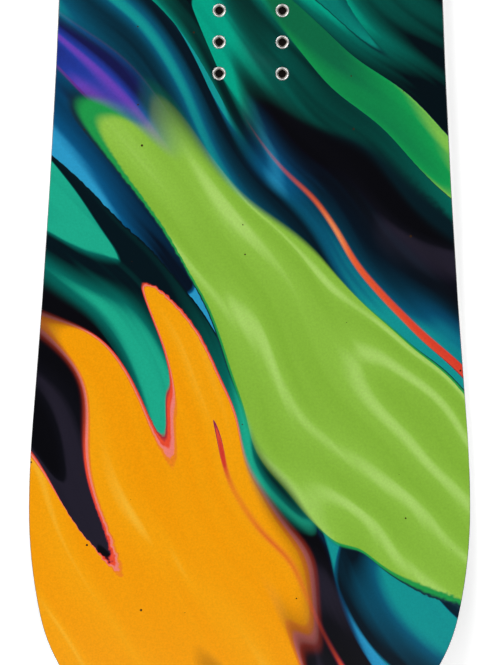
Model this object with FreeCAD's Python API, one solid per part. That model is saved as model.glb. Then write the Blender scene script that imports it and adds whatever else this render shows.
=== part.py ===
import FreeCAD, Part
import math
import os

Vec = FreeCAD.Vector

# Twin snowboard with a flat profile, bare deck, built up as it is pressed:
# steel edges round a sintered base, glass laminates, a wood core between
# plastic sidewalls and tip spacers, threaded inserts, and a printed topsheet.
# Base and edges each have a running part and a part for either tip.
#
# X runs across the board (toe side +X), Y along it (nose +Y), Z is up.
# The origin is the middle of the board on the floor that it rests on.
# All sizes are in millimetres and all angles in degrees.

# ---- plan outline ----
length = 1460.0              # end to end
waist = 234.0                # width at the middle
sidecut_depth = 23.0         # how far the waist lies inside the widest points
widest_to_tip = 154.0        # from the widest line to the end of the board
flare_radius = 716.0         # blends the sidecut into the widest line
shoulder_radius = 300.0      # from the widest line towards the tip
corner_radius = 105.0
tip_radius = 200.0           # the flatter end of nose and tail

# ---- side profile ----
flat_to_tip = 210.0          # from the end of the flat to the end of the board
roll_radius = 1500.0         # easy curve that leaves the floor
roll_reach = 40.0            # how far that curve carries on past the flat
kick_radius = 420.0          # upward curve of nose and tail

# ---- layers, from the base up ----
base_thickness = 1.3
edge_head_width = 2.0
edge_flange_reach = 5.5      # flange inside the head, between base and glass
edge_flange_thickness = 0.5
foil_thickness = 0.2         # rubber foil on the edges, beside the sidewalls
foil_width = 7.5
glass_over_foil = 0.3        # the bottom laminate where it is pressed thinnest
core_thickness = 6.8
core_tip_thickness = 1.7
core_taper_start = 320.0     # from the middle of the board
core_taper_past_flat = 20.0  # from the end of the flat to the end of the taper
top_glass_thickness = 0.7
topsheet_thickness = 0.5

# ---- core, sidewalls and tip spacers ----
sidewall_width = 9.0
sidewall_past_flat = 30.0
side_bevel = 6.0             # lean of the sidewall towards the deck
core_end_to_tip = 160.0      # from the rounded end of the core to the tip
core_end_radius = 260.0
strip_count = 11             # shares the waist between the sidewalls

# ---- threaded inserts for the bindings ----
insert_rows = 4              # per foot
insert_row_pitch = 20.0
insert_column_pitch = 40.0
insert_first_row = 240.0     # from the middle of the board
insert_bore = 5.0            # tapping size of an M6 thread
insert_barrel = 8.6          # across flats
insert_flange = 15.0         # across flats
insert_flange_thickness = 1.0
insert_floor = 0.9           # closes the bore towards the base
insert_recess = 0.1          # below the deck
insert_fit = 0.1             # all round the barrel and the flange
barrel_flat_count = 8        # flats keep an insert from turning in the core
flange_flat_count = 6        # buried under the core, where it may be coarser

# ---- derived heights above the base, and places along the board ----
half_length = length / 2
widest_y = half_length - widest_to_tip
flat_end_y = half_length - flat_to_tip
sidewall_end = flat_end_y + sidewall_past_flat
core_end_y = half_length - core_end_to_tip
edge_height = base_thickness + edge_flange_thickness
foil_top = edge_height + foil_thickness
core_floor = foil_top + glass_over_foil
core_top = core_floor + core_thickness
core_tip_top = core_floor + core_tip_thickness
edge_inner = edge_head_width + edge_flange_reach
strip_width = (waist - 2 * sidewall_width) / strip_count
deck_rise = top_glass_thickness + topsheet_thickness
bevel_slope = math.tan(math.radians(side_bevel))
deck_inset = (core_tip_top + deck_rise - core_floor) * bevel_slope
deck_pinch = (core_top - core_tip_top) * bevel_slope

# Cutting shapes run past the board by a margin, and no kick rises by more
# than its own radius.
overshoot = 2 * edge_inner
span = waist + 2 * sidecut_depth + 2 * overshoot
tool_floor = -overshoot
tool_height = overshoot + kick_radius


# ---- side profile as chains of lines and tangent arcs in the YZ plane ----
# A joint is (y, z, heading). A radius is None on the straight middle.

def moved_up(joint, offset):
    """Point at a joint, moved square to the chain by an offset."""
    y, z, heading = joint
    return Vec(-span / 2, y - offset * math.sin(heading), z + offset * math.cos(heading))


def along(joint, radius, heading):
    """Joint reached by following an arc from a joint to a new heading."""
    y, z, start = joint
    y += radius * (math.sin(heading) - math.sin(start))
    z += radius * (math.cos(start) - math.cos(heading))
    return (y, z, heading)


def shifted(joint, offset):
    """Joint of the parallel chain at an offset."""
    point = moved_up(joint, offset)
    return (point.y, point.z, joint[2])


def both_ways(half_joints, half_radii):
    """Whole chain, tail to nose, from its nose half."""
    mirrored = [(-y, z, -heading) for y, z, heading in reversed(half_joints)]
    radii = list(reversed(half_radii)) + [None] + half_radii
    return mirrored + half_joints, radii


def base_chain():
    """Underside of the base: flat, an easy roll off the floor, and the kick."""
    flat_end = (flat_end_y, 0.0, 0.0)
    roll_end = along(flat_end, roll_radius, math.asin(roll_reach / roll_radius))
    kick_run = half_length + overshoot - roll_end[0]
    kick_heading = math.asin(math.sin(roll_end[2]) + kick_run / kick_radius)
    kick_end = along(roll_end, kick_radius, kick_heading)
    return both_ways([flat_end, roll_end, kick_end], [roll_radius, kick_radius])


def biarc(start, end):
    """Middle joint and two radii of the two arcs that join two joints."""
    run = Vec(0, end[0] - start[0], end[1] - start[1])
    leave = Vec(0, math.cos(start[2]), math.sin(start[2]))
    arrive = Vec(0, math.cos(end[2]), math.sin(end[2]))
    lean = run.dot(leave + arrive)
    spread = 2 * (1 - leave.dot(arrive)) * run.dot(run)
    handle = run.dot(run) / (lean + math.sqrt(lean ** 2 + spread))
    bridge = run - (leave + arrive) * handle
    heading = math.atan2(bridge.z, bridge.y)
    middle_y = start[0] + handle * leave.y + bridge.y / 2
    middle_z = start[1] + handle * leave.z + bridge.z / 2
    middle = (middle_y, middle_z, heading)
    return middle, arc_radius(start, middle), arc_radius(middle, end)


def arc_radius(start, end):
    """Signed radius of the arc between two joints, positive where it bends up."""
    chord = math.hypot(end[0] - start[0], end[1] - start[1])
    return chord / (2 * math.sin((end[2] - start[2]) / 2))


def core_top_chain(underside):
    """Top of the core: full thickness in the middle, thin towards the tips."""
    roll_end, kick_end = underside[0][-2:]
    start = (core_taper_start, core_top, 0.0)
    end_heading = math.asin(core_taper_past_flat / roll_radius)
    end = shifted(along((flat_end_y, 0.0, 0.0), roll_radius, end_heading), core_tip_top)
    middle, first_radius, second_radius = biarc(start, end)
    joints = [start, middle, end, shifted(roll_end, core_tip_top), shifted(kick_end, core_tip_top)]
    radii = [first_radius, second_radius, roll_radius - core_tip_top, kick_radius - core_tip_top]
    return both_ways(joints, radii)


def chain_edges(chain, offset):
    """Lines and arcs of a chain, moved square to it by an offset."""
    joints, radii = chain
    edges = []
    for start, end, radius in zip(joints, joints[1:], radii):
        ends = [moved_up(start, offset), moved_up(end, offset)]
        if radius is None:
            edges.append(Part.LineSegment(*ends).toShape())
        else:
            middle = moved_up(along(start, radius, (start[2] + end[2]) / 2), offset)
            edges.append(Part.Arc(ends[0], middle, ends[1]).toShape())
    return edges


def slab(low_chain, low, high_chain, high):
    """Full-width layer between two chains, each moved by its own offset."""
    low_edges = chain_edges(low_chain, low)
    high_edges = chain_edges(high_chain, high)
    ends = []
    for side in (0, -1):
        foot = moved_up(low_chain[0][side], low)
        head = moved_up(high_chain[0][side], high)
        ends.append(Part.LineSegment(foot, head).toShape())
    wire = Part.Wire(Part.__sortEdges__(low_edges + high_edges + ends))
    return Part.Face(wire).extrude(Vec(span, 0, 0))


# ---- plan outline as tangent arcs, drawn for one quarter ----

def corner_centre(shoulder_centre, tip_centre):
    """Centre of the corner arc, which touches the shoulder and tip arcs."""
    to_shoulder = shoulder_radius - corner_radius
    to_tip = tip_radius - corner_radius
    line = tip_centre - shoulder_centre
    along_line = (to_shoulder ** 2 - to_tip ** 2 + line.Length ** 2) / (2 * line.Length)
    off_line = math.sqrt(to_shoulder ** 2 - along_line ** 2)
    line.normalize()
    square = Vec(-line.y, line.x, 0)
    return shoulder_centre + line * along_line + square * off_line


def quarter_outline(inset, pinch=0.0):
    """Arcs (centre, radius, start, end) from the waist to the tip.

    The whole outline moves in by the inset, and the waist moves in by the
    pinch as well."""
    half_waist = waist / 2 - pinch
    depth = sidecut_depth + pinch
    reach = (depth ** 2 + widest_y ** 2) / (2 * depth)
    sidecut_radius = reach - flare_radius
    flare_angle = math.asin(widest_y / reach)
    sidecut_centre = Vec(half_waist + sidecut_radius, 0, 0)
    flare_centre = Vec(half_waist + depth - flare_radius, widest_y, 0)
    shoulder_centre = Vec(half_waist + depth - shoulder_radius, widest_y, 0)
    tip_centre = Vec(0, half_length - tip_radius, 0)
    corner = corner_centre(shoulder_centre, tip_centre)
    to_corner = corner - shoulder_centre
    from_tip = corner - tip_centre
    shoulder_angle = math.atan2(to_corner.y, to_corner.x)
    corner_angle = math.atan2(from_tip.y, from_tip.x)
    return [
        (sidecut_centre, sidecut_radius + inset, math.pi, math.pi - flare_angle),
        (flare_centre, flare_radius - inset, -flare_angle, 0.0),
        (shoulder_centre, shoulder_radius - inset, 0.0, shoulder_angle),
        (corner, corner_radius - inset, shoulder_angle, corner_angle),
        (tip_centre, tip_radius - inset, corner_angle, math.pi / 2),
    ]


def on_circle(centre, radius, angle, z):
    """Point on a circle at an angle and a height."""
    return Vec(centre.x + radius * math.cos(angle), centre.y + radius * math.sin(angle), z)


def arc_edge(centre, radius, start, end, z):
    """Arc between two angles at a height."""
    angles = (start, (start + end) / 2, end)
    return Part.Arc(*[on_circle(centre, radius, angle, z) for angle in angles]).toShape()


def mirrored(shapes, normal):
    """Shapes and their mirror images across the middle of the board."""
    return shapes + [shape.mirror(Vec(0, 0, 0), normal) for shape in shapes]


def outline_wire(inset, pinch, z):
    """Closed outline at a height."""
    sidecut, *corners, tip = quarter_outline(inset, pinch)
    side = arc_edge(sidecut[0], sidecut[1], 2 * math.pi - sidecut[3], sidecut[3], z)
    end = arc_edge(tip[0], tip[1], tip[2], math.pi - tip[2], z)
    quarter = [arc_edge(*arc, z) for arc in corners]
    edges = mirrored([side], Vec(1, 0, 0)) + mirrored([end], Vec(0, 1, 0))
    edges += mirrored(mirrored(quarter, Vec(1, 0, 0)), Vec(0, 1, 0))
    return Part.Wire(Part.__sortEdges__(edges))


def prism(inset, pinch=0.0):
    """Upright prism on the outline."""
    face = Part.Face(outline_wire(inset, pinch, tool_floor))
    return face.extrude(Vec(0, 0, tool_height))


def ring(outer_inset, inner_inset):
    """Upright band between two insets of the outline."""
    return prism(outer_inset).cut(prism(inner_inset))


def leaning_prism(height):
    """Prism whose sides meet the outline at a height and lean in above it."""
    wires = []
    for z in (tool_floor, tool_floor + tool_height):
        wires.append(outline_wire((z - height) * bevel_slope, 0.0, z))
    return Part.makeLoft(wires, True, True)


def block(x_low, x_high, y_low, y_high):
    """Upright block between two places across and two along the board."""
    corner = Vec(x_low, y_low, tool_floor)
    return Part.makeBox(x_high - x_low, y_high - y_low, tool_height, corner)


def side_block(side):
    """Everything on the toe side (1) or the heel side (-1)."""
    low, high = sorted((0.0, side * span))
    return block(low, high, -length, length)


def end_block(end):
    """Everything on the nose half (1) or the tail half (-1)."""
    low, high = sorted((0.0, end * length))
    return block(-span, span, low, high)


def middle_block(end_y):
    """Everything between a line near the tail and its mirror image near the nose."""
    return block(-span, span, -end_y, end_y)


def core_plan():
    """Upright shape of the core: sides along the sidewalls, and round ends."""
    side = span / 2
    corner_y = core_end_y - core_end_radius + math.sqrt(core_end_radius ** 2 - side ** 2)
    edges = []
    for end in (1, -1):
        points = [Vec(-side, end * corner_y, tool_floor), Vec(0, end * core_end_y, tool_floor)]
        points.append(Vec(side, end * corner_y, tool_floor))
        edges.append(Part.Arc(*points).toShape())
        points = [Vec(end * side, y, tool_floor) for y in (-corner_y, corner_y)]
        edges.append(Part.LineSegment(*points).toShape())
    face = Part.Face(Part.Wire(Part.__sortEdges__(edges)))
    return face.extrude(Vec(0, 0, tool_height)).common(prism(sidewall_width))


# ---- pieces ----

def steel_edge_ring():
    """Edge all round: a square head on a flange that the glass holds down."""
    whole = slab(base, 0, base, edge_height).common(ring(0, edge_inner))
    base_seat = slab(base, -base_thickness, base, base_thickness).common(prism(edge_head_width))
    return whole.cut(base_seat)


def foil_layer(outer_inset):
    """Space of the rubber foil, from an inset of the outline inwards."""
    band = slab(base, edge_height, base, foil_top).common(ring(outer_inset, foil_width))
    return band.common(middle_block(sidewall_end))


def bottom_laminate():
    """Glass laminate on the base, pressed thin over the edges and the foil."""
    sheet = slab(base, base_thickness, base, core_floor).common(prism(0))
    edge_space = slab(base, 0, base, edge_height).common(ring(-overshoot, edge_inner))
    return sheet.cut([edge_space, foil_layer(-overshoot)])


def sidewall_pair():
    """Both sidewalls, which lean in towards the deck."""
    leaning = leaning_prism(core_floor).common(middle_block(sidewall_end))
    return slab(base, core_floor, crown, 0).common(leaning.cut(prism(sidewall_width)))


def tip_spacer_pair():
    """Plastic fillers between the round ends of the core and the tips."""
    sidewall_space = ring(0, sidewall_width).common(middle_block(sidewall_end))
    whole = slab(base, core_floor, crown, 0).common(prism(0))
    return whole.cut([core_plan(), sidewall_space])


def insert_places():
    """Foot of the axis of every insert."""
    rows = [insert_first_row + row * insert_row_pitch for row in range(insert_rows)]
    across = insert_column_pitch / 2
    return [Vec(x, end * y, 0) for end in (1, -1) for y in rows for x in (-across, across)]


def pillar(place, low, high, across, flats):
    """Upright prism with an even number of flats, between two heights."""
    corner = across / 2 / math.cos(math.pi / flats)
    turns = [(index + 0.5) * 2 * math.pi / flats for index in range(flats)]
    points = [on_circle(place, corner, turn, low) for turn in turns]
    face = Part.Face(Part.makePolygon(points + points[:1]))
    return face.extrude(Vec(0, 0, high - low))


def deck_height(y):
    """Height of the deck at a place along the board."""
    joints, radii = crown
    for start, end, radius in zip(joints, joints[1:], radii):
        if moved_up(end, deck_rise).y >= y:
            break
    if radius is None:
        return start[1] + deck_rise
    centre_y = start[0] - radius * math.sin(start[2])
    centre_z = start[1] + radius * math.cos(start[2])
    return centre_z - math.copysign(math.sqrt((radius - deck_rise) ** 2 - (y - centre_y) ** 2), radius)


def threaded_insert(place):
    """Blind threaded insert with a flange that holds it under the deck."""
    shoulder = core_floor + insert_flange_thickness
    mouth = deck_height(place.y) - insert_recess
    flange = pillar(place, core_floor, shoulder, insert_flange, flange_flat_count)
    barrel = pillar(place, shoulder, mouth, insert_barrel, barrel_flat_count)
    bore_floor = Vec(place.x, place.y, core_floor + insert_floor)
    return flange.fuse(barrel).cut(Part.makeCylinder(insert_bore / 2, tool_height, bore_floor))


def insert_pocket(place):
    """Stepped hole that takes an insert, open through the core and the deck."""
    ceiling = core_floor + insert_flange_thickness + insert_fit
    wide = pillar(place, base_thickness, ceiling, insert_flange + 2 * insert_fit, flange_flat_count)
    narrow = pillar(place, ceiling, tool_height, insert_barrel + 2 * insert_fit, barrel_flat_count)
    return wide.fuse(narrow)


def wood_core():
    """Core with the insert pockets, before it is parted into its strips."""
    blank = slab(base, core_floor, crown, 0).common(core_plan())
    return blank.cut([insert_pocket(place) for place in insert_places()])


def strip_lines():
    """Glue lines between the core strips, with the outer strips left open."""
    inner = [(index - strip_count / 2) * strip_width for index in range(1, strip_count)]
    return [-span] + inner + [span]


def deck_layer(low, high):
    """Layer on top of the core, open at the inserts."""
    sheet = slab(crown, low, crown, high).common(prism(deck_inset, deck_pinch))
    return sheet.cut([insert_pocket(place) for place in insert_places()])


def save(name, shape, count=1):
    """Write a node's file, once it has the number of solids that it should have."""
    solids = shape.Solids
    if len(solids) != count:
        raise ValueError("%s has %d solids" % (name, len(solids)))
    Part.makeCompound(solids).exportStep("parts/%s.step" % name)
    print("%-24s %2d solids %10.0f mm3" % (name, count, shape.Volume))


base = base_chain()
crown = core_top_chain(base)

os.makedirs("parts", exist_ok=True)
base_sheet = slab(base, 0, base, base_thickness).common(prism(edge_head_width))
flat_part = middle_block(flat_end_y)
save("base_sheet_running", base_sheet.common(flat_part))

edges = steel_edge_ring()
beside_sidewalls = middle_block(sidewall_end)
running_edges = edges.common(beside_sidewalls)
foils = foil_layer(0)
sidewalls = sidewall_pair()
for side_name, side in (("toeside", 1), ("heelside", -1)):
    half = side_block(side)
    save("steel_edge_" + side_name, running_edges.common(half))
    save("rubber_foil_" + side_name, foils.common(half))
    save("sidewall_" + side_name, sidewalls.common(half))

save("bottom_glass_laminate", bottom_laminate())

core = wood_core()
lines = strip_lines()
for number, (left, right) in enumerate(zip(lines, lines[1:]), start=1):
    save("core_strip_%02d" % number, core.common(block(left, right, -length, length)))

base_tips = base_sheet.cut(flat_part)
edge_tips = edges.cut(beside_sidewalls)
spacers = tip_spacer_pair()
for end_name, end in (("nose", 1), ("tail", -1)):
    half = end_block(end)
    save("base_sheet_" + end_name, base_tips.common(half))
    save("steel_edge_" + end_name, edge_tips.common(half))
    save("tip_spacer_" + end_name, spacers.common(half))

inserts = [threaded_insert(place) for place in insert_places()]
save("threaded_inserts", Part.makeCompound(inserts), len(inserts))
save("top_glass_laminate", deck_layer(0, top_glass_thickness))
save("topsheet", deck_layer(top_glass_thickness, deck_rise))
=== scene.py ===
import logging
import math
from dataclasses import dataclass, field
from enum import Enum

import bmesh
import bpy
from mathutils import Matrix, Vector


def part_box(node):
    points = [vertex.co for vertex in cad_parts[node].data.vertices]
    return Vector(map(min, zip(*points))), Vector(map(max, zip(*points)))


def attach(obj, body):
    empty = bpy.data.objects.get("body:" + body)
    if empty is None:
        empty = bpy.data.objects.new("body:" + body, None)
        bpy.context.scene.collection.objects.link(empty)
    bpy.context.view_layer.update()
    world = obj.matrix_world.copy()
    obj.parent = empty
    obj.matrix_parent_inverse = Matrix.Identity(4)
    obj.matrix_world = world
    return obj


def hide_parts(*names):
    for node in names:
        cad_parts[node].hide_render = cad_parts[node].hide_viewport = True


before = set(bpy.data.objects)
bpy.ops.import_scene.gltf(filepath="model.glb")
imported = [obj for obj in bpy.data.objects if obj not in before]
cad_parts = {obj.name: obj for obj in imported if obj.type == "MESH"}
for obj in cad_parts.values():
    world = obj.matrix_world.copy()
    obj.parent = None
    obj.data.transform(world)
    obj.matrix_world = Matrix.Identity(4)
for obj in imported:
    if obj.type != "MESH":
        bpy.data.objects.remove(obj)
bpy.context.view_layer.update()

# A twin snowboard seen from straight above: a printed topsheet over the pressed
# sandwich of sintered base, steel edges, glass laminates, sidewalls and wood
# core, with bare threaded inserts for the bindings.
# Lengths are in metres. Fields whose names end in _mm hold millimetres.

log = logging.getLogger("snowboard")

MM = 0.001
ROOT = "root"
SHARP_DEGREES = 32.0  # Faces that meet more steeply than this keep a sharp edge.
WELD = 1e-7  # Points of a layer that lie nearer than this become one.
SLIVER = 1e-8  # Edges shorter than this are dissolved.

Point = tuple[float, float]
Size = tuple[float, float, float]
Line = list[Point]
Tree = bpy.types.NodeTree
Node = bpy.types.Node
Socket = bpy.types.NodeSocket


# ---- helpers that every sub-assembly uses ----

def linear(hex_colour: str) -> tuple[float, float, float, float]:
    """Turn an sRGB hex colour into linear light.

    Args:
        hex_colour: Six hex digits, with or without a leading #.

    Returns:
        Linear red, green and blue, and an alpha of 1.
    """
    digits = hex_colour.lstrip("#")
    parts = [int(digits[start:start + 2], 16) / 255 for start in (0, 2, 4)]
    light = [c / 12.92 if c <= 0.04045 else ((c + 0.055) / 1.055) ** 2.4 for c in parts]
    return (light[0], light[1], light[2], 1.0)


def add(tree: Tree, kind: str, *inputs: object, **settings: object) -> Node:
    """Add a node with its settings and links.

    Args:
        tree: Node tree that gets the node.
        kind: Blender's type name of the node, where a shader node's starts after ShaderNode.
        inputs: A value, an output socket or a node for each input in order, or one dict
            of them by name or number.
        settings: Values of the node's own properties.

    Returns:
        The new node.
    """
    node = tree.nodes.new(kind if "Node" in kind else "ShaderNode" + kind)
    for name, value in settings.items():
        setattr(node, name, value)
    named = inputs[0] if inputs and isinstance(inputs[0], dict) else dict(enumerate(inputs))
    for key, value in named.items():
        if isinstance(value, Node):
            value = value.outputs[0]
        if isinstance(value, Socket):
            tree.links.new(value, node.inputs[key])
        else:
            node.inputs[key].default_value = value
    return node


def empty_tree(holder: bpy.types.Material | bpy.types.World) -> Tree:
    """Give a material or a world an empty node tree.

    Args:
        holder: The material or world.

    Returns:
        Its node tree.
    """
    holder.use_nodes = True
    holder.node_tree.nodes.clear()
    return holder.node_tree


def open_tree(name: str, sizes: dict[str, float]) -> tuple[Tree, Node]:
    """Start a geometry tree with a geometry input, named sizes and a material.

    Args:
        name: Name of the tree.
        sizes: Named sizes, where a whole number gets an integer socket.

    Returns:
        The tree and its group input node.
    """
    tree = bpy.data.node_groups.new(name, "GeometryNodeTree")
    kinds = {label: "Int" if isinstance(size, int) else "Float" for label, size in sizes.items()}
    for label, kind in {"Geometry": "Geometry", **kinds, "Material": "Material"}.items():
        tree.interface.new_socket(label, in_out="INPUT", socket_type="NodeSocket" + kind)
    tree.interface.new_socket("Geometry", in_out="OUTPUT", socket_type="NodeSocketGeometry")
    return tree, add(tree, "NodeGroupInput")


def close_tree(tree: Tree, given: Node, geometry: Node) -> None:
    """End a geometry tree in Realize Instances and Set Material.

    Args:
        tree: The tree to end.
        given: Its group input node.
        geometry: Node that gives what the tree made.
    """
    real = add(tree, "GeometryNodeRealizeInstances", {"Geometry": geometry})
    dressed = add(tree, "GeometryNodeSetMaterial", {
        "Geometry": real, "Material": given.outputs["Material"],
    })
    add(tree, "NodeGroupOutput", dressed)


def bake(piece: bpy.types.Object, tree: Tree, values: dict[str, object]) -> None:
    """Run a geometry tree on a piece and keep the result as its plain mesh.

    Args:
        piece: Mesh object to work on.
        tree: Geometry tree.
        values: Value of each named input.
    """
    modifier = piece.modifiers.new(tree.name, "NODES")
    modifier.node_group = tree
    for item in tree.interface.items_tree:
        if item.in_out == "INPUT" and item.name in values:
            modifier[item.identifier] = values[item.name]
    evaluated = piece.evaluated_get(bpy.context.evaluated_depsgraph_get())
    mesh = bpy.data.meshes.new_from_object(evaluated)
    piece.modifiers.remove(modifier)
    rough = piece.data
    piece.data = mesh
    bpy.data.meshes.remove(rough)
    mesh.name = piece.name


def new_object(name: str, data: bpy.types.ID) -> bpy.types.Object:
    """Put a mesh, camera or lamp into the scene as an object at the origin.

    Args:
        name: Name of the object.
        data: What it holds.

    Returns:
        The object.
    """
    made = bpy.data.objects.new(name, data)
    bpy.context.scene.collection.objects.link(made)
    return made


def closed_piece(name: str, shape: bmesh.types.BMesh) -> bpy.types.Object:
    """Turn a closed shape's faces outwards and put it into the scene.

    Args:
        name: Name of the piece.
        shape: The shape, which is freed.

    Returns:
        The piece.
    """
    bmesh.ops.recalc_face_normals(shape, faces=shape.faces)
    mesh = bpy.data.meshes.new(name)
    shape.to_mesh(mesh)
    shape.free()
    return new_object(name, mesh)


def hand_over(piece: bpy.types.Object, slot: str, nodes: list[str]) -> None:
    """Shade a finished piece and fasten it to the board in place of its solids.

    Args:
        piece: Finished piece with its material.
        slot: Material slot of the finish; not used.
        nodes: CAD nodes that the piece stands for.
    """
    mesh = piece.data
    mesh.polygons.foreach_set("use_smooth", [True] * len(mesh.polygons))
    mesh.set_sharp_from_angle(angle=math.radians(SHARP_DEGREES))
    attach(piece, ROOT)
    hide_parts(*nodes)
    log.info("%s: %d faces in place of %s", piece.name, len(mesh.polygons), ", ".join(nodes))


class Finish:
    """A finish, which makes its material the first time that it is asked for."""

    name: str

    def material(self) -> bpy.types.Material:
        """Give the material of the finish.

        Returns:
            The material, which is the same one every time.
        """
        made = bpy.data.materials.get(self.name)
        if made is None:
            made = bpy.data.materials.new(self.name)
            tree = empty_tree(made)
            where = add(tree, "TexCoord").outputs["Object"]
            add(tree, "OutputMaterial", {"Surface": self.surface(tree, where)})
        return made

    def surface(self, tree: Tree, where: Socket) -> Node:
        """Build the shader. Each finish has its own.

        Args:
            tree: Material tree.
            where: Object coordinates.

        Returns:
            The shader.
        """
        raise NotImplementedError


# ---- finishes of the board ----

@dataclass(frozen=True)
class Grain:
    """Noise whose features have a real width, length and height in millimetres.

    The seed is the height at which the noise is cut, so that each use has its own.
    """

    size_mm: Size
    detail: float = 2.0
    roughness: float = 0.5
    distortion: float = 0.0
    seed: float = 0.0

    def noise(self, tree: Tree, where: Socket) -> Node:
        """Add the noise at some coordinates.

        Args:
            tree: Material tree.
            where: The coordinates.

        Returns:
            Noise node, which gives 0 to 1.
        """
        drawn = add(tree, "Mapping", {
            "Vector": where, "Location": (0.0, 0.0, self.seed),
            "Scale": [1 / (size * MM) for size in self.size_mm],
        })
        return add(tree, "TexNoise", {
            "Vector": drawn, "Scale": 1.0, "Detail": self.detail, "Roughness": self.roughness,
            "Distortion": self.distortion,
        })


def drawn_out(along_mm: float, across_mm: float, seed: float, detail: float = 0.6) -> Grain:
    """Give the grain of paint that is drawn out along its flow.

    Args:
        along_mm: Length of its features along the flow.
        across_mm: Width of its features.
        seed: Height at which the noise is cut.
        detail: Levels of finer noise.

    Returns:
        The grain.
    """
    return Grain((along_mm, across_mm, across_mm), detail, roughness=0.45, distortion=0.25, seed=seed)


@dataclass(frozen=True)
class Mixture:
    """Colours of a paint, and how its sheet spreads and folds.

    The rims are the colours that a sheet squeezes out ahead of its edge, outermost
    first. Within the sheet the colour brightens slowly from deep over light to glow
    in each fold, and falls back over the share of the fold given by fall. Body is
    the least brightness of a fold, and wander the reach of the sheet's tongues.
    """

    deep: str
    light: str
    glow: str
    rims: tuple[str, ...] = ()
    folds: float = 2.6
    body: float = 0.0
    wander: float = 1.6
    fall: float = 0.02
    rim_width: float = 0.025
    softness: float = 0.4


class Paint(Enum):
    """The paints in the print."""

    BLACK = Mixture("#030308", "#0c0c16", "#24202e", folds=3.0)
    EMERALD = Mixture("#000d14", "#00806f", "#00aa8a", ("#021a22",))
    JADE = Mixture("#00121a", "#007d70", "#1fb592", ("#02141a",))
    PINE = Mixture("#00121a", "#00706c", "#19ac90", ("#051426",), folds=2.4)
    SEA = Mixture("#00101a", "#006e6a", "#0aa48c", ("#04142a",))
    TEAL = Mixture("#021420", "#056a8c", "#129c96", ("#0a1030",), folds=2.4)
    BLUE = Mixture("#020f20", "#0568a0", "#2fa4d2", ("#1a1246",), folds=2.4)
    LAKE = Mixture("#020f20", "#0566a0", "#2fa4d2", ("#1a1246",), folds=2.4)
    COBALT = Mixture("#030e26", "#0b5f9c", "#2d96cc", ("#221450",), folds=2.4)
    VIOLET = Mixture("#14164a", "#2a48bc", "#8040b8", ("#1a0f40", "#6a2c94"),
                     folds=3.0, wander=1.2, fall=0.3)
    LEAF = Mixture("#0b6a44", "#13b054", "#a6d44c", ("#04323c",), folds=2.0, wander=1.2, fall=0.3)
    LIME = Mixture("#86b838", "#97c94a", "#b2dc70", ("#12303c", "#1f9a4a"),
                   folds=4.0, body=0.2, wander=1.3, fall=0.4)
    ORANGE = Mixture("#fa9e00", "#fcab0c", "#ffd24a", ("#a8283a", "#f04e30", "#f58378", "#f4871e"),
                     folds=1.6, body=0.2, wander=1.3, fall=0.6, rim_width=0.011, softness=0.25)
    CORAL = Mixture("#d6382c", "#f0604c", "#f7a594", ("#8a2450", "#e04a34"),
                    folds=3.0, wander=1.2, fall=0.5, rim_width=0.2, softness=1.2)
    VERMILION = Mixture("#e0402c", "#f5703a", "#f9b070", ("#7a2040",),
                        folds=3.0, wander=1.2, fall=0.5, rim_width=0.2, softness=1.2)


@dataclass(frozen=True)
class Pour:
    """One sheet of paint in the print, which lies over the sheets before it.

    The sheet fills an oval that leans along the flow, and its edge wanders by a
    noise drawn out along the flow, which gives it pointed tongues.
    """

    centre_mm: Point
    reach_mm: Point
    paint: Paint
    seed: float


@dataclass(frozen=True)
class Currents:
    """Sockets and noises that every sheet of the print reads."""

    bent: Socket
    flow: Socket
    streak: Node
    ripple: Node
    calm: Node
    grit: Node


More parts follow.
